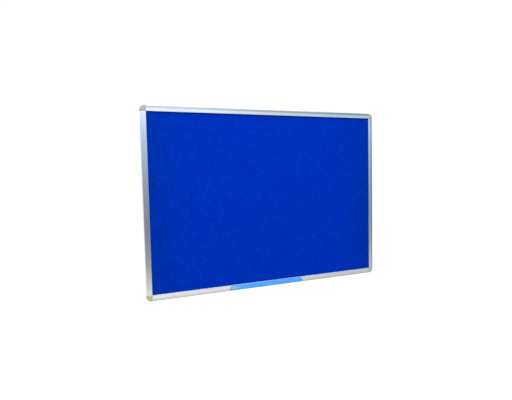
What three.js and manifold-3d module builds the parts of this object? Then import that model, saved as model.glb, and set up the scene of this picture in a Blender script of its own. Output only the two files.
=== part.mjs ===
import * as THREE from 'three';
import { mergeVertices } from 'three/addons/utils/BufferGeometryUtils.js';
import Module from 'manifold-3d';

// A fabric pinboard for the wall, in millimetres. X runs along its width, Z is up, the front faces -Y
// and the wall is the plane y = 0. Every piece is drawn with y as its depth behind the front of the
// frame, and one group sets the whole board back against the wall.

// Board, over the frame
const boardWidth = 900;
const boardHeight = 600;

// Aluminium rail. In its section u runs inward across the face from the outer edge, and v runs back.
// The face is two bands that meet in a shallow crease: the inner one is level with the wall, and the
// outer one slopes back to a rounded nose. From the nose the outer wall leans in towards the back, so
// the board is a little smaller where it meets the wall. Behind the face lie a closed chamber for the
// corner legs and an open channel for the panel.
const railWall = 1.3;
const chamberWidth = 7.6;
const webWall = 1.2;
const lipReach = 8.9;
const lipDepth = 2.8;
const lipEdgeRadius = 1;
const noseRadius = 3;
const creaseShare = 0.5;
const faceSlope = THREE.MathUtils.degToRad(7);
const sideSlope = THREE.MathUtils.degToRad(16);
const rearLipReach = 5.9;
const rearLipWall = 1;

// Panel, from the front: felt, softboard and hardboard, glued face to face
const feltThickness = 1.3;
const softboardThickness = 6;
const backingThickness = 1.6;
const panelFaceGap = 0.15;
const panelEdgeGap = 0.4;

// Corner cover, a moulded shell that continues the rail's face round the corner
const cornerStraight = 4;
const coverWall = 1.3;
const coverGap = 0.2;
const innerCornerRadius = 0.3;
const pegRadius = 1.5;
const pegGap = 0.15;
const pegFromRail = 3.4;
const pegDepth = 4.2;
const pegTaper = 0.8;
const socketSpare = 0.8;

// Corner connector: a floor on the wall, a boss for the wall screw and two legs that fill the chambers
const floorThickness = 2.5;
const rimWall = 1.2;
const rimHeight = 3;
const rootFront = 4.2;
const bossFront = 6;
const bossWall = 1.2;
const bossToSkirt = 1;
const bossToPanel = 0.5;
const wallHoleRadius = 3.2;
const wallHeadRadius = 4.8;
const legLength = 40;
const legRoot = 1;
const legGap = 0.4;
const legFloor = 2.5;
const legRib = 1.4;
const pocketWall = 1.4;
const screwBlockLength = 8;
const nearPockets = 2;
const farPockets = 1;
const tipLength = 4;
const tipInset = 1.2;
const barbHeight = 0.25;
const barbDip = 0.2;
const barbLength = 2.4;
const barbPitch = 5;
const barbCount = 3;
const barbMargin = 1.5;
const barbFromTip = 0.4;

// Countersunk screw that holds a leg in its rail, driven from behind
const screwLength = 9;
const screwShankRadius = 1.45;
const screwHeadRadius = 2.7;
const screwPointLength = 2;
const screwFromTip = 16;
const screwSink = 0.05;
const screwHoleGap = 0.2;
const screwPilotGap = 0.1;
const pilotSpare = 0.5;
const recessReach = 1.5;
const recessWidth = 0.7;
const recessDepth = 1.1;

// Light-blue strip stuck across the face of the bottom rail, a little left of the middle. Its ends are
// slanted, so that it is longest along the rail's outer edge.
const stripLength = 295;
const stripCentre = -17.5;
const stripLeftSlant = 5;
const stripRightSlant = 14;
const stripThickness = 0.25;
const stripGap = 0.05;
const stripWrap = THREE.MathUtils.degToRad(50);
const stripEdge = 1.2;

// How far a cutting solid runs past what it cuts
const overrun = 1;

// Faces round a full turn, and along each arc of a section
const roundSteps = 24;
const arcSteps = 10;
const cornerSteps = 14;

// Places that follow from the sizes
const webOuter = railWall + chamberWidth;
const webInner = webOuter + webWall;
const faceWidth = webInner + lipReach;
const panelFront = lipDepth + panelFaceGap;
const panelBack = panelFront + feltThickness + softboardThickness + backingThickness;
const rearLipFront = panelBack + panelFaceGap;
const railDepth = rearLipFront + rearLipWall;
const creaseAt = faceWidth * creaseShare;
const noseDepth = slopeDepth(noseRadius, noseRadius);
const noseStart = Math.PI - sideSlope;
const noseEnd = 1.5 * Math.PI - faceSlope;
const chamberBack = railDepth - railWall;
const cornerRadius = faceWidth - cornerStraight;
const coverEdge = faceWidth - coverGap;
const floorFront = railDepth - floorThickness;
const skirtBack = floorFront - coverGap;
const panelInset = webInner + panelEdgeGap;
const bossRadius = wallHeadRadius + bossWall;
const connectorInset = sideAt(floorFront, coverWall + coverGap);
const bossReach = cornerRadius - connectorInset - bossToSkirt - bossRadius;
const wallHoleInset = cornerRadius - bossReach * Math.SQRT1_2;
const panelClip = 2 * (wallHoleInset - panelInset) + Math.SQRT2 * (bossRadius + bossToPanel);
const pegAt = faceWidth - pegFromRail;
const legOuter = railWall + legGap;
const legInner = webOuter - legGap;
const legBack = chamberBack - legGap;
const legFloorFront = legBack - legFloor;
const legMiddle = (sideAt(legBack, legOuter) + legInner) / 2;
const legEnd = faceWidth + legLength;
const screwFromEnd = legLength - screwFromTip;
const screwAt = faceWidth + screwFromEnd;
const screwHeadDepth = screwHeadRadius - screwShankRadius;
const screwTop = railDepth - screwSink;
const screwTip = screwTop - screwLength;

const wasm = await Module();
wasm.setup();

// Closed three.js geometry as a solid that can be joined and cut
function solid(geometry) {
  const bare = geometry.clone();
  bare.deleteAttribute('normal');
  bare.deleteAttribute('uv');
  const merged = mergeVertices(bare);
  return new wasm.Manifold(new wasm.Mesh({
    numProp: 3,
    vertProperties: new Float32Array(merged.attributes.position.array),
    triVerts: new Uint32Array(merged.index.array),
  }));
}

function join(solids) {
  return solids.reduce((whole, added) => whole.add(added));
}

function cut(whole, tools) {
  return tools.reduce((rest, tool) => rest.subtract(tool), whole);
}

// Named mesh of a finished solid, with flat facets
function piece(name, body, material) {
  const { vertProperties, triVerts } = body.getMesh();
  const indexed = new THREE.BufferGeometry();
  indexed.setAttribute('position', new THREE.BufferAttribute(vertProperties, 3));
  indexed.setIndex(new THREE.BufferAttribute(triVerts, 1));
  const geometry = indexed.toNonIndexed();
  geometry.computeVertexNormals();
  const mesh = new THREE.Mesh(geometry, material);
  mesh.name = name;
  return mesh;
}

// A point of an outline
function at(x, y) {
  return new THREE.Vector2(x, y);
}

// Round stretch of an outline about (x, y), as points
function arc(x, y, radius, from, to, steps) {
  const points = [];
  for (let step = 0; step <= steps; step += 1) {
    const angle = from + (to - from) * step / steps;
    points.push(at(x + radius * Math.cos(angle), y + radius * Math.sin(angle)));
  }
  return points;
}

// Outline in x and z made into a plate between two depths
function plate(points, front, back) {
  const geometry = new THREE.ExtrudeGeometry(new THREE.Shape(points), {
    depth: back - front,
    bevelEnabled: false,
  });
  geometry.rotateX(Math.PI / 2);
  geometry.translate(0, back, 0);
  return solid(geometry);
}

// Section in u and v drawn out along x between two places, with its outer edge on z = 0
function bar(points, from, to, hole = []) {
  const section = new THREE.Shape(points);
  if (hole.length > 0) {
    section.holes.push(new THREE.Path(hole));
  }
  const geometry = new THREE.ExtrudeGeometry(section, { depth: to - from, bevelEnabled: false });
  const acrossUp = new THREE.Vector3(0, 0, 1);
  const depthBack = new THREE.Vector3(0, 1, 0);
  const alongLeft = new THREE.Vector3(-1, 0, 0);
  geometry.applyMatrix4(new THREE.Matrix4().makeBasis(acrossUp, depthBack, alongLeft));
  geometry.translate(to, 0, 0);
  return solid(geometry);
}

function block(xFrom, xTo, front, back, zFrom, zTo) {
  const geometry = new THREE.BoxGeometry(xTo - xFrom, back - front, zTo - zFrom);
  geometry.translate((xFrom + xTo) / 2, (front + back) / 2, (zFrom + zTo) / 2);
  return solid(geometry);
}

// Round bar, or a cone, along the depth at a place in x and z
function round(x, z, front, back, frontRadius, backRadius) {
  const geometry = new THREE.CylinderGeometry(backRadius, frontRadius, back - front, roundSteps);
  geometry.translate(x, (front + back) / 2, z);
  return solid(geometry);
}

// The same solid with x and z exchanged, for the second leg of a corner
function swapped(body) {
  return body.mirror([1, 0, -1]);
}

// Depth of the rail's sloping outer band at u, measured some way inside the surface
function slopeDepth(u, inside) {
  return (creaseAt - u) * Math.tan(faceSlope) + inside / Math.cos(faceSlope);
}

// Place of the leaning outer wall at a depth, measured some way inside the surface
function sideAt(depth, inside) {
  const fromNose = (depth - noseDepth) * Math.tan(sideSlope);
  return noseRadius + fromNose - (noseRadius - inside) / Math.cos(sideSlope);
}

// Points of the face some way inside the surface: round the nose, up the slope and on to u. The crease
// moves along the line that halves the angle between the two bands.
function faceLine(uTo, inside, arcStart = noseStart) {
  const points = arc(noseRadius, noseDepth, noseRadius - inside, arcStart, noseEnd, arcSteps);
  const crease = creaseAt + inside * Math.tan(faceSlope / 2);
  if (uTo > crease) {
    points.push(at(crease, inside), at(uTo, inside));
  } else {
    points.push(at(uTo, slopeDepth(uTo, inside)));
  }
  return points;
}

// Rails
function screwHole(x) {
  const headMouth = screwHeadRadius + screwHoleGap;
  const shankMouth = screwShankRadius + screwHoleGap;
  const coneFront = railDepth - screwHeadDepth;
  const cone = round(x, legMiddle, coneFront, railDepth, shankMouth, headMouth);
  const mouth = round(x, legMiddle, railDepth, railDepth + overrun, headMouth, headMouth);
  const shank = round(x, legMiddle, chamberBack - overrun, railDepth, shankMouth, shankMouth);
  return join([cone, mouth, shank]);
}

function makeRail(name, span) {
  const edgeAt = faceWidth - lipEdgeRadius;
  const section = [
    at(sideAt(railDepth, 0), railDepth),
    ...faceLine(creaseAt, 0),
    ...arc(edgeAt, lipEdgeRadius, lipEdgeRadius, 1.5 * Math.PI, 2 * Math.PI, arcSteps),
    at(faceWidth, lipDepth),
    at(webInner, lipDepth),
    at(webInner, rearLipFront),
    at(webInner + rearLipReach, rearLipFront),
    at(webInner + rearLipReach, railDepth),
  ];
  const chamber = [
    at(sideAt(chamberBack, railWall), chamberBack),
    ...faceLine(webOuter, railWall),
    at(webOuter, chamberBack),
  ];
  const half = span / 2 - faceWidth;
  const body = cut(bar(section, -half, half, chamber), [
    screwHole(half - screwFromEnd),
    screwHole(screwFromEnd - half),
  ]);
  return piece(name, body, aluminium);
}

// Panel layers share one outline, a rectangle clipped at the corners to clear the bosses
function makePanel() {
  const halfWidth = boardWidth / 2 - panelInset;
  const halfHeight = boardHeight / 2 - panelInset;
  const outline = [
    at(panelClip - halfWidth, -halfHeight),
    at(halfWidth - panelClip, -halfHeight),
    at(halfWidth, panelClip - halfHeight),
    at(halfWidth, halfHeight - panelClip),
    at(halfWidth - panelClip, halfHeight),
    at(panelClip - halfWidth, halfHeight),
    at(-halfWidth, halfHeight - panelClip),
    at(-halfWidth, panelClip - halfHeight),
  ];
  const feltBack = panelFront + feltThickness;
  const coreBack = feltBack + softboardThickness;
  return [
    piece('felt_face', plate(outline, panelFront, feltBack), felt),
    piece('softboard_core', plate(outline, feltBack, coreBack), softboard),
    piece('backing_sheet', plate(outline, coreBack, panelBack), hardboard),
  ];
}

// Closed section in u and v carried round a corner from one rail to the other. Its outer edge follows
// the round of the corner, and further in the bend gets tighter, as offset lines do.
function roundCorner(section) {
  const reach = faceWidth + overrun;
  const rows = section.map(({ x: u, y: v }) => {
    const bend = Math.max(cornerRadius - u, innerCornerRadius);
    const middle = u + bend;
    const turn = arc(middle, middle, bend, 1.5 * Math.PI, Math.PI, cornerSteps);
    const line = [at(reach + bend, u), ...turn, at(u, reach + bend)];
    return line.map((point) => [point.x, v, point.y]);
  });
  const stride = rows[0].length;
  const index = [];
  rows.forEach((row, number) => {
    const here = number * stride;
    const next = ((number + 1) % rows.length) * stride;
    for (let step = 0; step < stride - 1; step += 1) {
      index.push(here + step, next + step, here + step + 1);
      index.push(next + step, next + step + 1, here + step + 1);
    }
  });
  for (const [a, b, c] of THREE.ShapeUtils.triangulateShape(section, [])) {
    index.push(a * stride, c * stride, b * stride);
    index.push((a + 1) * stride - 1, (b + 1) * stride - 1, (c + 1) * stride - 1);
  }
  const geometry = new THREE.BufferGeometry();
  geometry.setAttribute('position', new THREE.Float32BufferAttribute(rows.flat(2), 3));
  geometry.setIndex(index);
  return solid(geometry);
}

// Section of a corner's shell, some way inside the surface and as far back as a depth
function shellSection(inside, back) {
  const uTo = faceWidth + overrun;
  return [at(sideAt(back, inside), back), ...faceLine(uTo, inside), at(uTo, back)];
}

// Outline of a corner, some way in from its rounded outside and as wide as the rails
function cornerOutline(inset) {
  return [
    at(coverEdge, inset),
    at(coverEdge, coverEdge),
    at(inset, coverEdge),
    ...arc(cornerRadius, cornerRadius, cornerRadius - inset, Math.PI, 1.5 * Math.PI, cornerSteps),
  ];
}

function makeCover(name) {
  const shell = roundCorner(shellSection(0, skirtBack));
  const hollow = roundCorner(shellSection(coverWall, skirtBack + overrun));
  const bounds = block(-overrun, coverEdge, -overrun, skirtBack, -overrun, coverEdge);
  const pegBack = rootFront + pegDepth;
  const taperFront = pegBack - pegTaper;
  const tipRadius = pegRadius - pegTaper / 2;
  const peg = join([
    round(pegAt, legMiddle, coverWall, taperFront, pegRadius, pegRadius),
    round(pegAt, legMiddle, taperFront, pegBack, pegRadius, tipRadius),
  ]);
  const body = join([shell.subtract(hollow).intersect(bounds), peg, swapped(peg)]);
  return piece(name, body, cornerPlastic);
}

// Pockets moulded into a stretch of the leg from its front, with ribs between them
function pockets(from, to, count) {
  const pitch = (to - from) / count;
  const zFrom = sideAt(legFloorFront, legOuter) + pocketWall;
  const zTo = legInner - pocketWall;
  const cuts = [];
  for (let number = 0; number < count; number += 1) {
    const start = from + number * pitch + legRib / 2;
    cuts.push(block(start, start + pitch - legRib, 0, legFloorFront, zFrom, zTo));
  }
  return cuts;
}

// Barbs on both sides of the leg, each a wedge that rises out of the leg and is steep towards the corner
function barbs() {
  const barbBack = legBack - barbMargin;
  const barbOuter = sideAt(barbBack, legOuter);
  const teeth = [];
  for (let number = 0; number < barbCount; number += 1) {
    const toe = legEnd - tipLength - barbFromTip - number * barbPitch;
    const heel = toe - barbLength;
    const wedge = [
      at(toe, barbOuter + barbDip),
      at(toe, legInner - barbDip),
      at(heel, legInner + barbHeight),
      at(heel, barbOuter - barbHeight),
    ];
    teeth.push(plate(wedge, legFloorFront, barbBack));
  }
  return teeth;
}

// Leg in the chamber of the rail along x: the chamber's own section with a gap all round. Its root under
// the cover is narrower, so that the cover's leaning wall pulls clear of it.
function makeLeg() {
  const section = [
    at(sideAt(legBack, legOuter), legBack),
    ...faceLine(legInner, legOuter),
    at(legInner, legBack),
  ];
  const shoulder = legEnd - tipLength;
  const taper = [
    at(0, connectorInset),
    at(faceWidth, connectorInset),
    at(faceWidth, 0),
    at(shoulder, 0),
    at(shoulder, legOuter),
    at(legEnd, legOuter + tipInset),
    at(legEnd, legInner - tipInset),
    at(shoulder, legInner),
    at(shoulder, webInner),
    at(0, webInner),
  ];
  const screwFront = screwAt - screwBlockLength / 2;
  const screwBehind = screwAt + screwBlockLength / 2;
  const pilotRadius = screwShankRadius + screwPilotGap;
  const pilotFront = screwTip - pilotSpare;
  const shaft = join([bar(section, coverEdge - legRoot, legEnd), ...barbs()]);
  return cut(shaft.intersect(plate(taper, 0, railDepth)), [
    ...pockets(faceWidth, screwFront, nearPockets),
    ...pockets(screwBehind, shoulder, farPockets),
    round(screwAt, legMiddle, pilotFront, railDepth, pilotRadius, pilotRadius),
  ]);
}

// Space that the clipped panel corner takes in the connector
function panelRoom() {
  const side = webInner;
  const clip = panelClip + 2 * panelEdgeGap - Math.SQRT2 * bossToPanel / 2;
  const far = side + clip + overrun;
  return plate([
    at(side + clip, side),
    at(far, side),
    at(far, far),
    at(side, far),
    at(side, side + clip),
  ], 0, rearLipFront);
}

function makeConnector(name) {
  const rimFront = floorFront - rimHeight;
  const rimBack = floorFront + overrun;
  const rimInset = connectorInset + rimWall;
  const rim = roundCorner([
    at(connectorInset, rimBack),
    at(connectorInset, rimFront),
    at(rimInset, rimFront),
    at(rimInset, rimBack),
  ]);
  const root = block(legMiddle, faceWidth, rootFront, rimBack, connectorInset, legInner);
  const boss = round(wallHoleInset, wallHoleInset, bossFront, railDepth, bossRadius, bossRadius);
  const cell = plate(cornerOutline(connectorInset), 0, railDepth);
  const upper = join([root, swapped(root), boss, rim]).intersect(cell);
  const floor = roundCorner([
    at(sideAt(railDepth, 0), railDepth),
    at(sideAt(floorFront, 0), floorFront),
    at(faceWidth + overrun, floorFront),
    at(faceWidth + overrun, railDepth),
  ]).intersect(plate(cornerOutline(0), 0, railDepth));
  const leg = makeLeg();

  const holeFront = bossFront - overrun;
  const holeBack = railDepth + overrun;
  const sinkBack = bossFront + wallHeadRadius - wallHoleRadius;
  const socketRadius = pegRadius + pegGap;
  const socketBack = rootFront + pegDepth + socketSpare;
  const socket = round(pegAt, legMiddle, 0, socketBack, socketRadius, socketRadius);
  const body = cut(join([floor, upper, leg, swapped(leg)]), [
    round(wallHoleInset, wallHoleInset, holeFront, holeBack, wallHoleRadius, wallHoleRadius),
    round(wallHoleInset, wallHoleInset, bossFront, sinkBack, wallHeadRadius, wallHoleRadius),
    socket,
    swapped(socket),
    panelRoom(),
  ]);
  return piece(name, body, cornerPlastic);
}

// Countersunk screw with a cross recess, its point towards the front of the board
function makeScrew(name) {
  const profile = [
    at(0, screwTip),
    at(screwShankRadius, screwTip + screwPointLength),
    at(screwShankRadius, screwTop - screwHeadDepth),
    at(screwHeadRadius, screwTop),
    at(0, screwTop),
  ];
  const blank = solid(new THREE.LatheGeometry(profile, roundSteps));
  const arm = recessWidth / 2;
  const recessFront = screwTop - recessDepth;
  const recessBack = screwTop + overrun;
  const body = cut(blank, [
    block(-recessReach, recessReach, recessFront, recessBack, -arm, arm),
    block(-arm, arm, recessFront, recessBack, -recessReach, recessReach),
  ]);
  return piece(name, body, screwSteel);
}

// Strip on the bottom rail, bent over its face and round the nose, between its two slanted ends
function makeStrip() {
  const uTo = faceWidth - stripEdge;
  const wrapStart = noseEnd - stripWrap;
  const section = [
    ...faceLine(uTo, -stripGap - stripThickness, wrapStart),
    ...faceLine(uTo, -stripGap, wrapStart).reverse(),
  ];
  const left = stripCentre - stripLength / 2;
  const right = stripCentre + stripLength / 2;
  const outline = [
    at(left, 0),
    at(right, 0),
    at(right - stripRightSlant, faceWidth),
    at(left + stripLeftSlant, faceWidth),
  ];
  const ribbon = bar(section, left - overrun, right + overrun);
  return piece('rail_strip', ribbon.intersect(plate(outline, -overrun, railDepth)), stripFilm);
}

// Materials
const felt = new THREE.MeshStandardMaterial({ color: 0x0130b7, roughness: 0.95, metalness: 0 });
const softboard = new THREE.MeshStandardMaterial({ color: 0x9a8466, roughness: 0.95, metalness: 0 });
const hardboard = new THREE.MeshStandardMaterial({ color: 0x7a5636, roughness: 0.7, metalness: 0 });
const aluminium = new THREE.MeshStandardMaterial({ color: 0xc3c9cf, roughness: 0.38, metalness: 1 });
const cornerPlastic = new THREE.MeshStandardMaterial({ color: 0xbab69f, roughness: 0.55, metalness: 0 });
const screwSteel = new THREE.MeshStandardMaterial({ color: 0xb4b6b8, roughness: 0.35, metalness: 1 });
const stripFilm = new THREE.MeshStandardMaterial({ color: 0x5aa8ff, roughness: 0.3, metalness: 0 });

// Each side is made as the bottom one and turned about Y, the direction the board faces
const board = new THREE.Group();
board.position.y = -railDepth;
board.add(...makePanel());

const sides = [
  { name: 'bottom', across: boardWidth, away: boardHeight, turns: 0 },
  { name: 'left', across: boardHeight, away: boardWidth, turns: 1 },
  { name: 'top', across: boardWidth, away: boardHeight, turns: 2 },
  { name: 'right', across: boardHeight, away: boardWidth, turns: 3 },
];
for (const { name, across, away, turns } of sides) {
  const side = new THREE.Group();
  side.rotation.y = turns * Math.PI / 2;
  const rail = makeRail(`rail_${name}`, across);
  rail.position.z = -away / 2;
  side.add(rail);
  if (name === 'bottom') {
    const strip = makeStrip();
    strip.position.z = -away / 2;
    side.add(strip);
  }
  board.add(side);
}

// Each corner is made as the lower left one: its first leg enters the rail that runs along its own x
const corners = [
  { tag: 'bl', first: 'bottom_left', second: 'left_bottom', x: -1, z: -1, turns: 0 },
  { tag: 'tl', first: 'left_top', second: 'top_left', x: -1, z: 1, turns: 1 },
  { tag: 'tr', first: 'top_right', second: 'right_top', x: 1, z: 1, turns: 2 },
  { tag: 'br', first: 'right_bottom', second: 'bottom_right', x: 1, z: -1, turns: 3 },
];
for (const { tag, first, second, x, z, turns } of corners) {
  const corner = new THREE.Group();
  corner.position.set(x * boardWidth / 2, 0, z * boardHeight / 2);
  corner.rotation.y = turns * Math.PI / 2;
  const firstScrew = makeScrew(`rail_screw_${first}`);
  firstScrew.position.set(screwAt, 0, legMiddle);
  const secondScrew = makeScrew(`rail_screw_${second}`);
  secondScrew.position.set(legMiddle, 0, screwAt);
  corner.add(makeCover(`corner_cover_${tag}`));
  corner.add(makeConnector(`corner_connector_${tag}`));
  corner.add(firstScrew, secondScrew);
  board.add(corner);
}

const model = new THREE.Group();
model.add(board);

export default model;
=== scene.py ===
# %% [markdown]
# # A fabric pinboard
# The board is a felt-faced panel in a slim aluminium frame with moulded corners. The frame, the panel and
# the corners come in as exact solids. This script dresses them: it gives every piece its finish, lays a
# real felt sheet over the plain one, and sets up a plain studio with the camera where the photographer
# stood.

# %% Load the solids
import math

import bmesh
import bpy
from mathutils import Color, Matrix, Vector, noise


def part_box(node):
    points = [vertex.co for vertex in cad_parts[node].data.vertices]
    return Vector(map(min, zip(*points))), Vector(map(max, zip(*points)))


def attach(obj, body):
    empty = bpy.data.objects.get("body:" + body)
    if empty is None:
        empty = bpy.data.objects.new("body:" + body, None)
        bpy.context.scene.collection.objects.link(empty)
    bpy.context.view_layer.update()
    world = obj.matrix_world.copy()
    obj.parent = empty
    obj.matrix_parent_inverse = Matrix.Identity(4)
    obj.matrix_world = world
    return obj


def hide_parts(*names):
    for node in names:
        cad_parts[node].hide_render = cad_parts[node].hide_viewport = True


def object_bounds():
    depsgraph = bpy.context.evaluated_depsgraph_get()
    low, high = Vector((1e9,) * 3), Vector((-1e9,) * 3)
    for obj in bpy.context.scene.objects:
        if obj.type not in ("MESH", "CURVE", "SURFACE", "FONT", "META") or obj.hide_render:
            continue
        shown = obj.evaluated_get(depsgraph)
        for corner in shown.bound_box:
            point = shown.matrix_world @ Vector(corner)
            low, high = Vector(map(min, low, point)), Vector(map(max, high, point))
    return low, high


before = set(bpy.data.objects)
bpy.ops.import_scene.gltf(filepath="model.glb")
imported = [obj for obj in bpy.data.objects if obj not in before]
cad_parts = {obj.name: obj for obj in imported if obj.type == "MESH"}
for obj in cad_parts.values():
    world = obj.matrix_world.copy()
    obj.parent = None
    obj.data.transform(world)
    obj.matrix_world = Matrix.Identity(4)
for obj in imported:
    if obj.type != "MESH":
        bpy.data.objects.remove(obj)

cad_low, cad_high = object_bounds()

MM_PER_M = 1000


def in_mm(*sizes):
    return [round(size * MM_PER_M, 2) for size in sizes]


print("board over all, mm:", in_mm(*(cad_high - cad_low)))

# %% [markdown]
# ## The camera
# The photograph looks at the board from its left and a little above its middle. The four corners of the
# frame and of the felt give the lens and the place: a 41 mm lens two metres away. The picture was cropped
# unevenly top and bottom, so the lens is shifted up by a small part of the width instead of tilting the
# camera, which would lean the upright rails towards each other.

# %% Camera
IMAGE_WIDTH = 512
FOCAL_PX = 580
CENTRE_BELOW_MIDDLE_PX = 19.4
SENSOR_MM = 36
CAMERA_PLACE = Vector((-1.0161, -1.7067, 0.0935))
CAMERA_AHEAD = Vector((0.4902, 0.8677, -0.0826))
CAMERA_UP = Vector((0.0586, 0.0617, 0.9964))


def make_camera():
    data = bpy.data.cameras.new("camera")
    data.sensor_width = SENSOR_MM
    data.lens = SENSOR_MM * FOCAL_PX / IMAGE_WIDTH
    data.shift_y = CENTRE_BELOW_MIDDLE_PX / IMAGE_WIDTH
    camera = bpy.data.objects.new("camera", data)
    bpy.context.scene.collection.objects.link(camera)
    back = -CAMERA_AHEAD.normalized()
    across = CAMERA_UP.cross(back).normalized()
    upward = back.cross(across)
    turned = Matrix((across, upward, back)).transposed().to_4x4()
    camera.matrix_world = Matrix.Translation(CAMERA_PLACE) @ turned
    bpy.context.scene.camera = camera
    return camera


camera = make_camera()
print("lens, mm:", round(camera.data.lens, 1), "shift:", round(camera.data.shift_y, 4))

# %% [markdown]
# ## Tools for the finishes
# A finish is a small network of shader nodes. Wired one by one, the nodes hide the idea behind them. Plain
# sums are much easier to read, so a Signal wraps the output of a node, and adding or multiplying two of them
# adds the Math node that does it.

# %% Signals
class Signal:
    """A value that changes over a surface."""

    def __init__(self, finish, socket):
        self.finish = finish
        self.socket = socket

    def maths(self, operation, *values):
        return self.finish.make("ShaderNodeMath", {"operation": operation}, dict(enumerate(values)))

    def __add__(self, other):
        return self.maths("ADD", self, other)

    def __sub__(self, other):
        return self.maths("SUBTRACT", self, other)

    def __rsub__(self, other):
        return self.maths("SUBTRACT", other, self)

    def __mul__(self, other):
        return self.maths("MULTIPLY", self, other)

    def __truediv__(self, other):
        return self.maths("DIVIDE", self, other)

    def __rtruediv__(self, other):
        return self.maths("DIVIDE", other, self)

    def __abs__(self):
        return self.maths("ABSOLUTE", self)

    __radd__ = __add__
    __rmul__ = __mul__

    def sine(self):
        return self.maths("SINE", self)

    def most(self, other):
        return self.maths("MAXIMUM", self, other)

    def spread(self, low, high):
        """low where the signal is 0, high where it is 1, and evenly between."""
        return low + (high - low) * self

    def between(self, low, high):
        """0 below low, 1 above high and a soft rise in between."""
        settings = {"interpolation_type": "SMOOTHSTEP"}
        inputs = {"Value": self, "From Min": low, "From Max": high}
        return self.finish.make("ShaderNodeMapRange", settings, inputs)

    def beside(self, output):
        """Another output of the same node."""
        return Signal(self.finish, self.socket.node.outputs[output])


print("a signal also has:", [name for name in vars(Signal) if not name.startswith("__")])

# %% [markdown]
# A Finish holds the nodes of one material, or of the world. Its method make adds a node of any kind: the
# settings come first, such as the stops of a ramp, and then the values or links of the inputs. The other
# methods are short names for the nodes that the finishes use most. The Mix node has sockets for every kind
# of data, so those for colours are picked by their number.

# %% Finishes
MIX_SHARE, MIX_FIRST, MIX_SECOND, MIX_RESULT = 0, 6, 7, 2


class Finish:
    """The nodes of one material, or of the world, put together one by one."""

    def __init__(self, owner):
        self.owner = owner
        owner.use_nodes = True
        self.tree = owner.node_tree
        self.tree.nodes.clear()

    def make(self, kind, settings=None, inputs=None, output=0):
        node = self.tree.nodes.new(kind)
        for name, value in (settings or {}).items():
            if name == "stops":
                self.set_stops(node.color_ramp, value)
            else:
                setattr(node, name, value)
        for name, value in (inputs or {}).items():
            self.feed(node.inputs[name], value)
        return Signal(self, node.outputs[output])

    def feed(self, socket, value):
        if isinstance(value, Signal):
            self.tree.links.new(value.socket, socket)
        else:
            socket.default_value = value

    def set_stops(self, ramp, stops):
        ramp.elements.remove(ramp.elements[1])
        for number, (position, shade) in enumerate(stops):
            stop = ramp.elements[0] if number == 0 else ramp.elements.new(position)
            stop.position = position
            stop.color = shade

    def place(self):
        """Where a point of the surface is, in metres."""
        return self.make("ShaderNodeTexCoord", output="Object")

    def parts(self, vector):
        """The x, y and z of a vector."""
        x = self.make("ShaderNodeSeparateXYZ", {}, {"Vector": vector}, output="X")
        return x, x.beside("Y"), x.beside("Z")

    def scaled(self, vector, scale):
        return self.make("ShaderNodeMapping", {}, {"Vector": vector, "Scale": scale})

    def turned(self, vector, turn):
        return self.make("ShaderNodeMapping", {}, {"Vector": vector, "Rotation": turn})

    def grain(self, vector, scale, detail, roughness=0.5, distortion=0):
        """A noise with about so many lumps to the metre."""
        inputs = {"Vector": vector, "Scale": scale, "Detail": detail, "Roughness": roughness}
        return self.make("ShaderNodeTexNoise", {}, inputs | {"Distortion": distortion})

    def blend(self, share, first, second):
        """One colour where share is 0, the other where it is 1."""
        inputs = {MIX_SHARE: share, MIX_FIRST: first, MIX_SECOND: second}
        return self.make("ShaderNodeMix", {"data_type": "RGBA"}, inputs, output=MIX_RESULT)

    def relief(self, height, distance, strength):
        """A normal that leans as if the surface rose by the distance where height is 1."""
        inputs = {"Height": height, "Distance": distance, "Strength": strength}
        return self.make("ShaderNodeBump", {}, inputs)

    def vectors(self, operation, *values):
        return self.make("ShaderNodeVectorMath", {"operation": operation}, dict(enumerate(values)))

    def surface(self, shader, output="ShaderNodeOutputMaterial"):
        self.tree.links.new(shader.socket, self.tree.nodes.new(output).inputs["Surface"])
        return self.owner

    def principled(self, inputs):
        return self.surface(self.make("ShaderNodeBsdfPrincipled", {}, inputs))


def new_finish(name):
    return Finish(bpy.data.materials.new(name))


print("a finish has:", [name for name in vars(Finish) if not name.startswith("__")])

# %% [markdown]
# Colours are picked as a picture shows them, in steps from 0 to 255. A shader works with amounts of light
# instead, so each colour is taken back through the curve that a picture is stored with.

# %% Colours
BRIGHTEST = 255


def colour(red, green, blue):
    """A colour as a picture shows it, from 0 to 255, as the light that a shader works with."""
    shown = Color((red / BRIGHTEST, green / BRIGHTEST, blue / BRIGHTEST))
    return (*shown.from_srgb_to_scene_linear(), 1)


print("mid grey as light:", round(colour(128, 128, 128)[0], 3))

# %% [markdown]
# ## Satin aluminium
# The rails are pressed through a die and then anodised. The die leaves fine lines along the rail, so the
# metal mirrors the room sharply along the lines and smears it across them. A bump map could carry the
# lines, but they are finer than a pixel of the picture and would average away. Tipping the normal itself,
# by a noise that is stretched some thousand times along the rail, keeps the smear at any distance. Streaks
# a few lines wide vary the tone and the gloss for close views. The level rails run along X and tip in Z,
# and the upright ones the other way round, so one function makes both.

# %% Aluminium
X_AXIS, Z_AXIS = 0, 2
ALUMINIUM_LIGHT = colour(216, 218, 221)
ALUMINIUM_DARK = colour(200, 203, 207)
DIE_LINES_PER_M = 9000
DIE_LINES_ALONG_PER_M = 2.5
DIE_LINE_TIP = 0.035
LINES_PER_STREAK = 5
STREAKS_FAINT_TO_FULL = (0.3, 0.7)
HANDLING_PER_M = 14
ALUMINIUM_ROUGHNESS = 0.2
HANDLING_ROUGHNESS = 0.05
STREAK_ROUGHNESS = 0.06


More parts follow.
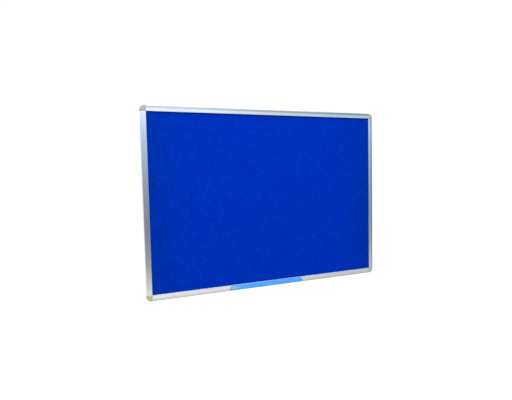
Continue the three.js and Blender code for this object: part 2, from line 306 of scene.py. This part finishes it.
def aluminium(name, along):
    finish = new_finish(name)
    place = finish.place()
    lines_per_m = Vector([DIE_LINES_PER_M] * 3)
    lines_per_m[along] = DIE_LINES_ALONG_PER_M
    lines = finish.grain(finish.scaled(place, lines_per_m), 1, detail=2)
    streaks_per_m = lines_per_m / LINES_PER_STREAK
    streaks = finish.grain(finish.scaled(place, streaks_per_m), 1, detail=3, roughness=0.6)
    handling = finish.grain(place, HANDLING_PER_M, detail=4, roughness=0.6)
    across = Vector((1, 0, 0)) if along == Z_AXIS else Vector((0, 0, 1))
    tip_by = {0: across, "Scale": lines.spread(-DIE_LINE_TIP, DIE_LINE_TIP)}
    tip = finish.make("ShaderNodeVectorMath", {"operation": "SCALE"}, tip_by)
    facing = finish.make("ShaderNodeNewGeometry", output="Normal")
    worn = handling.spread(-HANDLING_ROUGHNESS, HANDLING_ROUGHNESS)
    streaked = streaks.spread(-STREAK_ROUGHNESS, STREAK_ROUGHNESS)
    tone = streaks.between(*STREAKS_FAINT_TO_FULL)
    return finish.principled({
        "Base Color": finish.blend(tone, ALUMINIUM_DARK, ALUMINIUM_LIGHT),
        "Metallic": 1,
        "Roughness": ALUMINIUM_ROUGHNESS + worn + streaked,
        "Normal": finish.vectors("NORMALIZE", finish.vectors("ADD", facing, tip)),
    })


aluminium_level = aluminium("aluminium_level", along=X_AXIS)
aluminium_upright = aluminium("aluminium_upright", along=Z_AXIS)
print("made", aluminium_level.name, aluminium_upright.name)

# %% [markdown]
# ## Moulded corners
# The covers and the connectors behind them are moulded in a beige-grey plastic. The mould is etched, so the
# face has a fine even texture and no gloss. Plastic of this colour also yellows unevenly: a slow noise
# makes it cloudy. The colour also turns yellower towards the bottom, so the two lower corners are yellower
# than the upper two.

# %% Corner plastic
PLASTIC_LIGHT = colour(170, 170, 153)
PLASTIC_DARK = colour(157, 157, 139)
# The colour towards the bottom of the board, yellower than at the top.
LOWER_CORNER_LIGHT = colour(187, 185, 157)
LOWER_CORNER_DARK = colour(172, 170, 139)
FLOW_PER_M = 90
ETCH_PER_M = 2600
ETCH_DEPTH = 0.00004
FLOW_SHARE, ETCH_SHARE = 0.7, 0.3
PLASTIC_ROUGHNESS = (0.46, 0.62)


def corner_plastic():
    finish = new_finish("corner_plastic")
    place = finish.place()
    etch = finish.grain(place, ETCH_PER_M, detail=2)
    flow = finish.grain(place, FLOW_PER_M, detail=3)
    tone = flow * FLOW_SHARE + etch * ETCH_SHARE
    _, _, z = finish.parts(place)
    unshaded_or_upper = finish.blend(tone, PLASTIC_DARK, PLASTIC_LIGHT)
    lower_corner_tone = finish.blend(tone, LOWER_CORNER_DARK, LOWER_CORNER_LIGHT)
    return finish.principled({
        # Yellower towards the bottom, plainer towards the top.
        "Base Color": finish.blend(z.between(cad_low.z, cad_high.z), lower_corner_tone, unshaded_or_upper),
        "Roughness": etch.spread(*PLASTIC_ROUGHNESS),
        "Specular IOR Level": 0.3,
        "Normal": finish.relief(etch, ETCH_DEPTH, strength=0.6),
    })


plastic = corner_plastic()
print("made", plastic.name)

# %% [markdown]
# ## Zinc-plated screws
# Zinc plating is a bright metal with a cold, slightly cloudy tint. The clouds are a millimetre or two wide,
# so a noise of that size shows a few of them even on a small head.

# %% Screw steel
ZINC_LIGHT = colour(214, 218, 224)
ZINC_DARK = colour(166, 172, 182)
ZINC_CLOUDS_PER_M = 700
ZINC_CLOUD_DEPTH = 0.00003
ZINC_ROUGHNESS = (0.26, 0.4)


def screw_steel():
    finish = new_finish("screw_steel")
    cloud = finish.grain(finish.place(), ZINC_CLOUDS_PER_M, detail=3)
    return finish.principled({
        "Base Color": finish.blend(cloud, ZINC_DARK, ZINC_LIGHT),
        "Metallic": 1,
        "Roughness": cloud.spread(*ZINC_ROUGHNESS),
        "Normal": finish.relief(cloud, ZINC_CLOUD_DEPTH, strength=0.4),
    })


steel = screw_steel()
print("made", steel.name)

# %% [markdown]
# ## Hardboard and softboard
# Hardboard is pressed from wood fibre on a wire screen, and the back keeps the screen's fine square print.
# Two crossed sine waves make that print, and a stretched noise makes the fibres.

# %% Hardboard
HARDBOARD_LIGHT = colour(152, 112, 76)
HARDBOARD_DARK = colour(112, 78, 50)
SCREEN_PITCH = 0.0018
SCREEN_DEPTH = 0.00012
WOOD_FIBRES_PER_M = 900
WOOD_PATCHES_PER_M = 22
WOOD_FIBRE_SHARE, WOOD_PATCH_SHARE, SCREEN_SHARE = 0.5, 0.4, 0.1
FIBRE_TO_SCREEN_HEIGHT = 0.4
HARDBOARD_ROUGHNESS = (0.62, 0.82)


def hardboard():
    finish = new_finish("hardboard")
    place = finish.place()
    x, _, z = finish.parts(place)
    turn = 2 * math.pi / SCREEN_PITCH
    screen = (x * turn).sine() * (z * turn).sine() * 0.5 + 0.5
    fibres = finish.grain(finish.scaled(place, (1, 1, 0.3)), WOOD_FIBRES_PER_M, detail=4, roughness=0.7)
    patches = finish.grain(place, WOOD_PATCHES_PER_M, detail=4)
    tone = fibres * WOOD_FIBRE_SHARE + patches * WOOD_PATCH_SHARE + screen * SCREEN_SHARE
    height = screen + fibres * FIBRE_TO_SCREEN_HEIGHT
    return finish.principled({
        "Base Color": finish.blend(tone, HARDBOARD_DARK, HARDBOARD_LIGHT),
        "Roughness": fibres.spread(*HARDBOARD_ROUGHNESS),
        "Normal": finish.relief(height, SCREEN_DEPTH, strength=0.5),
    })


backing = hardboard()
print("made", backing.name)

# %% [markdown]
# The softboard behind the felt is the same fibre, but loose and pale. Only its edge could ever be seen, so
# one stretched noise is enough.

# %% Softboard
SOFTBOARD_LIGHT = colour(178, 158, 128)
SOFTBOARD_DARK = colour(138, 116, 88)
LOOSE_FIBRES_PER_M = 1200
LOOSE_FIBRE_DEPTH = 0.0003


def softboard():
    finish = new_finish("softboard")
    stretched = finish.scaled(finish.place(), (1, 0.4, 1))
    fibres = finish.grain(stretched, LOOSE_FIBRES_PER_M, detail=4, roughness=0.7)
    return finish.principled({
        "Base Color": finish.blend(fibres, SOFTBOARD_DARK, SOFTBOARD_LIGHT),
        "Roughness": 0.95,
        "Specular IOR Level": 0.1,
        "Normal": finish.relief(fibres, LOOSE_FIBRE_DEPTH, strength=0.8),
    })


core = softboard()
print("made", core.name)

# %% [markdown]
# ## The light-blue strip
# A glossy film, stuck across the face of the bottom rail. Its left end has lost its colour over a few
# centimetres, so a soft rise along X takes the film from a greyish blue to the full light blue. A little
# noise is added to X, which keeps the fade from following a straight line.

# %% Strip film
FILM_BLUE = colour(68, 161, 255)
FILM_FADED = colour(152, 173, 200)
FADE_START = 0.013
FADE_END = 0.05
WOBBLES_PER_M = 120
WOBBLE = 0.01
SCUFFS_PER_M = 300
FILM_ROUGHNESS = (0.3, 0.4)

strip_low, strip_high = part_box("rail_strip")


def strip_film():
    finish = new_finish("strip_film")
    place = finish.place()
    x, _, _ = finish.parts(place)
    wobble = finish.grain(place, WOBBLES_PER_M, detail=2) * WOBBLE
    colour_left = (x + wobble).between(strip_low.x + FADE_START, strip_low.x + FADE_END)
    scuffs = finish.grain(place, SCUFFS_PER_M, detail=3)
    return finish.principled({
        "Base Color": finish.blend(colour_left, FILM_FADED, FILM_BLUE),
        "Roughness": scuffs.spread(*FILM_ROUGHNESS),
        "Specular IOR Level": 0.3,
    })


film = strip_film()
print("made", film.name, "for a strip of, mm:", in_mm(*(strip_high - strip_low)))

# %% [markdown]
# ## Dress the solids
# Each solid keeps its shape and takes its finish. The names of the solids say what they are, so the first
# part of the name picks the material.

# %% Give the solids their finishes
FINISH_OF = {
    "rail_top": aluminium_level,
    "rail_bottom": aluminium_level,
    "rail_left": aluminium_upright,
    "rail_right": aluminium_upright,
    "rail_strip": film,
    "rail_screw": steel,
    "corner": plastic,
    "softboard": core,
    "backing": backing,
    "felt": core,
}

for name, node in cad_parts.items():
    start = next(key for key in FINISH_OF if name.startswith(key))
    node.data.materials.clear()
    node.data.materials.append(FINISH_OF[start])
print("dressed", len(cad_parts), "solids")

# %% [markdown]
# The solids are faceted, so a rounded corner shows as a row of flat strips. Changing the solids isn't
# allowed, but a modifier may shade them: a few geometry nodes join the loose triangles where they meet,
# shade them smooth and keep each edge crisp that is sharper than a given angle. A Weighted Normal modifier
# then lets the wide flat faces keep their own direction, so that only the narrow strips between them blend.
# The rails go without: their bands are truly flat, and the crease between two of them must not be smoothed
# away.

# %% Smooth the rounded edges
CRISP_ABOVE = math.radians(28)
SAME_POINT = 1e-6
ROUNDED = ("corner", "rail_screw")


def shading_step(group, domain, smooth):
    step = group.nodes.new("GeometryNodeSetShadeSmooth")
    step.domain = domain
    step.inputs["Shade Smooth"].default_value = smooth
    return step


def smooth_shading():
    """Geometry nodes that join a solid's triangles and shade them smooth up to an angle."""
    group = bpy.data.node_groups.new("smooth_shading", "GeometryNodeTree")
    group.is_modifier = True
    for way in ("INPUT", "OUTPUT"):
        group.interface.new_socket("Geometry", in_out=way, socket_type="NodeSocketGeometry")
    solid_in = group.nodes.new("NodeGroupInput")
    join = group.nodes.new("GeometryNodeMergeByDistance")
    join.inputs["Distance"].default_value = SAME_POINT
    smooth_faces = shading_step(group, "FACE", True)
    crisp_edges = shading_step(group, "EDGE", False)
    solid_out = group.nodes.new("NodeGroupOutput")
    angle = group.nodes.new("GeometryNodeInputMeshEdgeAngle")
    sharper = group.nodes.new("FunctionNodeCompare")
    sharper.operation = "GREATER_THAN"
    sharper.inputs["B"].default_value = CRISP_ABOVE
    group.links.new(angle.outputs["Unsigned Angle"], sharper.inputs["A"])
    group.links.new(sharper.outputs["Result"], crisp_edges.inputs["Selection"])
    steps = [solid_in, join, smooth_faces, crisp_edges, solid_out]
    for before, after in zip(steps, steps[1:]):
        group.links.new(before.outputs[0], after.inputs[0])
    return group


shading = smooth_shading()
rounded = [node for name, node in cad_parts.items() if name.startswith(ROUNDED)]
for node in rounded:
    node.modifiers.new("smooth", "NODES").node_group = shading
    node.modifiers.new("weigh", "WEIGHTED_NORMAL").keep_sharp = True
print("smoothed", len(rounded), "solids")

# %% [markdown]
# ## The felt
# Needle felt is a mat of fibres punched together, with no weave. From a step away it is an even matt blue
# with a faint mottling, because the mat is a little thicker here and thinner there. The sheet could be a
# flat plate with all of this in the shading, but raking light and close views need real relief, so it is a
# fine grid whose points stand up to a tenth of a millimetre proud or shy. The solid under it gives its
# size, and how far its corners are clipped.

# %% Measure the felt
ON_THE_EDGE = 1e-5

felt_low, felt_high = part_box("felt_face")
felt_size = felt_high - felt_low
felt_middle = (felt_low + felt_high) / 2
felt_points = [vert.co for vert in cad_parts["felt_face"].data.vertices]
bottom_edge = [point.x for point in felt_points if point.z < felt_low.z + ON_THE_EDGE]
felt_clip = min(bottom_edge) - felt_low.x
print("felt, mm:", in_mm(*felt_size), "corners clipped by, mm:", in_mm(felt_clip))

# %% [markdown]
# The grid starts as a square of one metre, which is stood upright and stretched from one corner of the felt
# to the opposite one. The floor and the cards of the studio are flat as well, and come from the same
# helper. The corner connectors stand where the felt's corners would be, so each corner is cut off along a
# slanted plane.

# %% Grid of the felt
FELT_CELL = 0.0028


def flat_sheet(low, high, columns=1, rows=1):
    """A grid from one corner to the other, upright if one of them is higher, and otherwise lying flat."""
    low, high = Vector(low), Vector(high)
    width, depth, height = high - low
    mesh = bmesh.new()
    bmesh.ops.create_grid(mesh, x_segments=columns, y_segments=rows, size=0.5)
    stretch = Matrix.Diagonal((width, height or depth, 1, 1))
    stand = Matrix.Rotation(math.pi / 2 if height else 0, 4, "X")
    middle = Matrix.Translation((low + high) / 2)
    bmesh.ops.transform(mesh, matrix=middle @ stand @ stretch, verts=mesh.verts)
    return mesh


columns = round(felt_size.x / FELT_CELL)
rows = round(felt_size.z / FELT_CELL)
felt_grid = flat_sheet(felt_low, (felt_high.x, felt_low.y, felt_high.z), columns, rows)
for right, top in ((-1, -1), (1, -1), (1, 1), (-1, 1)):
    to_clip = Vector((right * (felt_size.x / 2 - felt_clip), 0, top * felt_size.z / 2))
    bmesh.ops.bisect_plane(
        felt_grid,
        geom=felt_grid.verts[:] + felt_grid.edges[:] + felt_grid.faces[:],
        plane_co=felt_middle + to_clip,
        plane_no=Vector((right, 0, top)).normalized(),
        clear_outer=True,
    )
print("felt grid:", columns, "by", rows, "cells,", len(felt_grid.verts), "points after clipping")

# %% [markdown]
# Each point is lifted by two sizes of lump. The lift fades out near the edge, which is cut clean and glued
# down flat. The rim is then pulled back to the softboard, and the back is closed.

# %% Relief of the felt
FELT_RELIEF = 0.00012
SLOW_LUMPS_PER_M, FAST_LUMPS_PER_M = 95, 260
SLOW_LUMP_SHARE, FAST_LUMP_SHARE = 0.6, 0.4
EDGE_FLAT = 0.012


def felt_lift(point):
    """How far the felt stands proud at a point."""
    slow = SLOW_LUMP_SHARE * noise.noise(point * SLOW_LUMPS_PER_M)
    fast = FAST_LUMP_SHARE * noise.noise(point * FAST_LUMPS_PER_M)
    from_side = felt_size.x / 2 - abs(point.x - felt_middle.x)
    from_level_edge = felt_size.z / 2 - abs(point.z - felt_middle.z)
    from_edge = max(0, min(from_side, from_level_edge))
    return FELT_RELIEF * (slow + fast) * min(1, from_edge / EDGE_FLAT)


def rim_of(mesh):
    return [edge for edge in mesh.edges if edge.is_boundary]


for vert in felt_grid.verts:
    vert.co.y -= felt_lift(vert.co)
skirt = bmesh.ops.extrude_edge_only(felt_grid, edges=rim_of(felt_grid))["geom"]
for vert in [part for part in skirt if isinstance(part, bmesh.types.BMVert)]:
    vert.co.y = felt_high.y
bmesh.ops.holes_fill(felt_grid, edges=rim_of(felt_grid))
bmesh.ops.recalc_face_normals(felt_grid, faces=felt_grid.faces)
print("felt faces:", len(felt_grid.faces))

# %% [markdown]
# The felt's finish mixes two blues. The mottling has three sizes: clouds a few centimetres wide, patches a
# few millimetres wide where the mat is denser, and single fibres. A fibre is a noise stretched along one
# direction, so three of them at different angles look like a tangle. A Mapping node scales before it turns,
# which would leave all three upright, so the turn has a node of its own in front. Towards the two sides the
# blue is painted darker, as painted shade for light that falls off there, and just under the top rail it is
# painted darker too, as painted shadow of the rail.

# %% Felt finish
FELT_LIGHT = colour(1, 55, 187)
FELT_DARK = colour(0, 32, 159)
# Painted shade: darker blues for the felt towards the sides, and painted shadow under the top rail.
PAINTED_SHADE_FELT_LIGHT = colour(2, 55, 168)
PAINTED_SHADE_FELT_DARK = colour(0, 33, 141)
SHEEN_TINT = colour(40, 90, 255)
CLOUDS_PER_M = 48
PATCHES_PER_M = 210
BENDS_PER_M = 160
FIBRE_SCALE = (1500, 1, 170)
FIBRE_ANGLES = (0.2, 1.25, 2.3)
PATCH_SHARE, FIBRE_SHARE, CLOUD_SHARE = 0.55, 0.3, 0.15
DARK_TO_LIGHT = (0.38, 0.66)
# How far in from the sides and from the top the painted shade and painted shadow fade out.
PAINTED_SHADE_TO_LIT_FROM_SIDE = (-0.04, 0.16)
PAINTED_SHADOW_TO_LIT_FROM_TOP = (-0.02, 0.03)
MAT_DEPTH = 0.0005
PATCH_HEIGHT, BEND_HEIGHT = 0.5, 0.2


def tangle(finish, place):
    """Fibres at three angles, with the highest on top."""
    layers = []
    for angle in FIBRE_ANGLES:
        lying = finish.scaled(finish.turned(place, (0, angle, 0)), FIBRE_SCALE)
        layers.append(finish.grain(lying, 1, detail=1, distortion=0.6))
    first, second, third = layers
    return first.most(second).most(third)


def felt_finish():
    finish = new_finish("felt_blue")
    place = finish.place()
    clouds = finish.grain(place, CLOUDS_PER_M, detail=3, roughness=0.55)
    patches = finish.grain(place, PATCHES_PER_M, detail=3, roughness=0.6)
    bends = finish.grain(place, BENDS_PER_M, detail=1)
    fibres = tangle(finish, place)
    mat = patches * PATCH_SHARE + fibres * FIBRE_SHARE + clouds * CLOUD_SHARE
    tone = mat.between(*DARK_TO_LIGHT)
    x, _, z = finish.parts(place)
    from_side = felt_size.x / 2 - abs(x - felt_middle.x)
    from_top = felt_high.z - z
    # 0 in the painted shade at the sides and the painted shadow under the top rail, 1 in the open felt.
    unshaded_or_upper = from_side.between(*PAINTED_SHADE_TO_LIT_FROM_SIDE) * from_top.between(*PAINTED_SHADOW_TO_LIT_FROM_TOP)
    unshaded_blue = finish.blend(tone, FELT_DARK, FELT_LIGHT)
    painted_shade_blue = finish.blend(tone, PAINTED_SHADE_FELT_DARK, PAINTED_SHADE_FELT_LIGHT)
    height = fibres + patches * PATCH_HEIGHT + bends * BEND_HEIGHT
    return finish.principled({
        "Base Color": finish.blend(unshaded_or_upper, painted_shade_blue, unshaded_blue),
        "Roughness": 0.95,
        "Specular IOR Level": 0,
        "Sheen Weight": 0.15,
        "Sheen Roughness": 0.45,
        "Sheen Tint": SHEEN_TINT,
        "Normal": finish.relief(height, MAT_DEPTH, strength=0.7),
    })


felt_blue = felt_finish()
print("made", felt_blue.name)

# %% [markdown]
# The sheet rides on the board, and stands for the plain solid of the felt. It was cut as a rectangle with
# its corners clipped, so it has the area of the rectangle less four small triangles, which make two
# squares.

# %% Lay the felt
def new_piece(name, mesh, material):
    data = bpy.data.meshes.new(name)
    mesh.to_mesh(data)
    mesh.free()
    data.materials.append(material)
    piece = bpy.data.objects.new(name, data)
    bpy.context.scene.collection.objects.link(piece)
    return piece


felt_sheet = new_piece("felt_sheet", felt_grid, felt_blue)
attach(felt_sheet, "board")
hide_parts("felt_face")

# %% [markdown]
# ## The studio
# A plain pale floor well below the board, as under a board on a wall, and a white world round it. The
# camera and the metal both see pure white there, while the light that falls on the board stays at a plain
# level.

# %% Floor and world
WHITE = (1, 1, 1, 1)
FLOOR_WHITE = colour(232, 232, 230)
FLOOR_Z = cad_low.z - 1.2
FLOOR_REACH = 15
FLOOR_GLOW = 0.7
WORLD_LEVEL = 0.38


def stage_piece(name, mesh, material):
    piece = new_piece(name, mesh, material)
    return piece


def seen_directly(finish):
    """1 for what is seen straight, in metal or through glass, and 0 for the light on matt surfaces."""
    straight = finish.make("ShaderNodeLightPath", output="Is Camera Ray")
    in_metal = straight.beside("Is Glossy Ray")
    through_glass = straight.beside("Is Transmission Ray")
    return straight.most(in_metal).most(through_glass)


def floor_finish():
    """Matt white that keeps shadows, with enough glow for the camera to see it as white."""
    finish = new_finish("floor_white")
    matt = finish.make("ShaderNodeBsdfDiffuse", {}, {"Color": FLOOR_WHITE})
    glow = finish.make("ShaderNodeEmission", {}, {"Strength": seen_directly(finish) * FLOOR_GLOW})
    return finish.surface(finish.make("ShaderNodeAddShader", {}, {0: matt, 1: glow}))


def make_world():
    world = bpy.data.worlds.new("studio")
    bpy.context.scene.world = world
    sky = Finish(world)
    inputs = {"Color": WHITE, "Strength": seen_directly(sky).spread(WORLD_LEVEL, 1)}
    return sky.surface(sky.make("ShaderNodeBackground", {}, inputs), "ShaderNodeOutputWorld")


floor_mesh = flat_sheet((-FLOOR_REACH, -FLOOR_REACH, FLOOR_Z), (FLOOR_REACH, FLOOR_REACH, FLOOR_Z))
floor = stage_piece("floor", floor_mesh, floor_finish())
world = make_world()
print(floor.name, "at z =", round(FLOOR_Z, 2), "in the world", world.name)

# %% [markdown]
# Metal has no colour of its own to show: it shows the room. In an all-white studio the frame would be a
# flat white outline, so a photographer stands cards round it. The main one is a tall wall behind the
# camera, seen by mirroring surfaces alone. Three ramps up the card give the light at each
# height. The left one has the brightest bands, as a room with its windows on that side, the middle one is a
# plain wall, and the far right is dim. They blend into each other along X. Where the windows give way to
# the wall hangs a curtain, which makes the upper part a little warmer and weaker.

# %% Card for the metal
CARD_Y = -3.0
CARD_LEFT, CARD_RIGHT = -5.0, 15.0
CARD_LOW, CARD_HIGH = -1.5, 3.5
CARD_LEVEL = 2.4
WINDOW_SIDE = [
    (-1.02, (1.9, 1.9, 2.1)),
    (-0.9, (0.86, 0.82, 0.14)),
    (-0.72, (0.42, 0.42, 0.46)),
    (-0.5, (0.17, 0.2, 0.27)),
    (-0.15, (0.3, 0.32, 0.4)),
    (0.2, (0.49, 0.59, 0.72)),
    (0.48, (0.6, 0.9, 1.22)),
    (0.59, (0.38, 0.84, 1.36)),
    (0.66, (2.4, 2.3, 2.3)),
    (0.95, (2.0, 2.05, 2.1)),
    (1.25, (0.85, 1.0, 1.2)),
    (1.8, (0.7, 0.85, 1.05)),
]
WALL_SIDE = [
    (-1.0, (1.1, 1.05, 1.0)),
    (-0.86, (0.68, 0.71, 0.7)),
    (-0.56, (0.32, 0.38, 0.46)),
    (-0.1, (0.4, 0.52, 0.62)),
    (0.2, (0.48, 0.66, 0.8)),
    (0.55, (0.78, 1.0, 1.18)),
    (0.75, (0.84, 0.97, 1.0)),
    (1.3, (0.28, 0.44, 0.58)),
    (1.8, (0.24, 0.38, 0.5)),
]
FAR_SIDE = [
    (-1.1, (0.42, 0.46, 0.4)),
    (-0.9, (0.3, 0.36, 0.36)),
    (-0.65, (0.04, 0.12, 0.22)),
    (-0.22, (0.18, 0.27, 0.37)),
    (0.2, (0.03, 0.21, 0.38)),
    (0.65, (0.38, 0.55, 0.8)),
    (1.2, (0.14, 0.24, 0.36)),
]
WINDOW_TO_WALL = (0.8, 3.0)
WALL_TO_FAR = (3.2, 5.0)
CURTAIN_LEFT, CURTAIN_RIGHT = (1.2, 1.6), (1.9, 2.4)
CURTAIN_FOOT = (0.3, 0.6)
CURTAIN_TINT = (0.92, 0.85, 0.74)


def card_shades(finish, height, shades):
    """A ramp up the card from heights and the light there, as shares of the card's level."""
    card_height = CARD_HIGH - CARD_LOW
    stops = [
        ((up_to - CARD_LOW) / card_height, (*[part / CARD_LEVEL for part in shade], 1))
        for up_to, shade in shades
    ]
    share = (height - CARD_LOW) / card_height
    return finish.make("ShaderNodeValToRGB", {"stops": stops}, {"Fac": share})


def card_finish():
    finish = new_finish("card_room")
    x, _, z = finish.parts(finish.place())
    windows, wall, far = [card_shades(finish, z, side) for side in (WINDOW_SIDE, WALL_SIDE, FAR_SIDE)]
    bare = finish.blend(x.between(*WINDOW_TO_WALL), windows, wall)
    curtain = x.between(*CURTAIN_LEFT) * (1 - x.between(*CURTAIN_RIGHT)) * z.between(*CURTAIN_FOOT)
    near = finish.blend(curtain, bare, finish.vectors("MULTIPLY", bare, CURTAIN_TINT))
    room = finish.blend(x.between(*WALL_TO_FAR), near, far)
    return finish.surface(finish.make("ShaderNodeEmission", {}, {"Color": room, "Strength": CARD_LEVEL}))


def make_card(name, low, high, material):
    """A flat card that only mirroring surfaces see."""
    card = stage_piece(name, flat_sheet(low, high), material)
    card.visible_camera = False
    card.visible_diffuse = False
    card.visible_transmission = False
    card.visible_shadow = False
    return card


card = make_card("card", (CARD_LEFT, CARD_Y, CARD_LOW), (CARD_RIGHT, CARD_Y, CARD_HIGH), card_finish())
print(card.name, "from x =", CARD_LEFT, "to", CARD_RIGHT)

# %% [markdown]
# The undersides of the frame mirror the floor. A second, flat card lies there: pale under the left end of
# the board, a little greyer to the right, and darker straight below, so that the lower edge of the frame
# stays visible against the white.

# %% Card on the floor
MAT_LEFT, MAT_RIGHT = -2.0, 6.0
MAT_FRONT, MAT_BACK = -3.0, 3.0
MAT_Z = FLOOR_Z + 0.05
MAT_PALE = (0.98, 1.0, 1.01, 1)
MAT_GREY = (0.75, 0.77, 0.78, 1)
MAT_BELOW = (0.42, 0.42, 0.42, 1)
PALE_TO_GREY = (0.4, 2.2)
FRONT_TO_BELOW = (-1.9, -0.6)


def mat_finish():
    finish = new_finish("mat_grey")
    x, y, _ = finish.parts(finish.place())
    front = finish.blend(x.between(*PALE_TO_GREY), MAT_PALE, MAT_GREY)
    shade = finish.blend(y.between(*FRONT_TO_BELOW), front, MAT_BELOW)
    return finish.surface(finish.make("ShaderNodeEmission", {}, {"Color": shade}))


mat = make_card("mat", (MAT_LEFT, MAT_FRONT, MAT_Z), (MAT_RIGHT, MAT_BACK, MAT_Z), mat_finish())
print(mat.name, "from y =", MAT_FRONT, "to", MAT_BACK)

# %% [markdown]
# The rounded upper edges of the frame look straight up. A third card hangs there, bright as a lit ceiling,
# and gives the bottom rail the thin bright line along the felt.

# %% Card overhead
CEILING_LEFT, CEILING_RIGHT = -2.0, 3.0
CEILING_FRONT, CEILING_BACK = -3.0, -0.2
CEILING_Z = CARD_HIGH
CEILING_LEVEL = 2.4


def ceiling_finish():
    finish = new_finish("ceiling_white")
    inputs = {"Color": WHITE, "Strength": CEILING_LEVEL}
    return finish.surface(finish.make("ShaderNodeEmission", {}, inputs))


ceiling_front_left = (CEILING_LEFT, CEILING_FRONT, CEILING_Z)
ceiling_back_right = (CEILING_RIGHT, CEILING_BACK, CEILING_Z)
ceiling = make_card("ceiling", ceiling_front_left, ceiling_back_right, ceiling_finish())
print(ceiling.name, "at z =", CEILING_Z)

# %% [markdown]
# ## Light
# One large soft lamp above and in front makes the thin shadow that the top rail throws on the felt. A
# second, weaker one stands behind, for whoever walks round the board. Both face its middle.

# %% Lamps
LAMPS = {
    "key": {"place": (-0.8, -2.4, 4.0), "size": 1.3, "watts": 262},
    "behind": {"place": (0.8, 2.4, 1.4), "size": 2.0, "watts": 40},
}


def make_lamp(name, place, size, watts):
    data = bpy.data.lights.new(name, "AREA")
    data.size = size
    data.energy = watts
    lamp = bpy.data.objects.new(name, data)
    lamp.location = place
    lamp.rotation_euler = Vector(place).to_track_quat("Z", "Y").to_euler()
    bpy.context.scene.collection.objects.link(lamp)
    return lamp


lamps = [make_lamp(name, **settings) for name, settings in LAMPS.items()]
bpy.context.scene.view_settings.view_transform = "Standard"
print("lamps:", [lamp.name for lamp in lamps])

# %% [markdown]
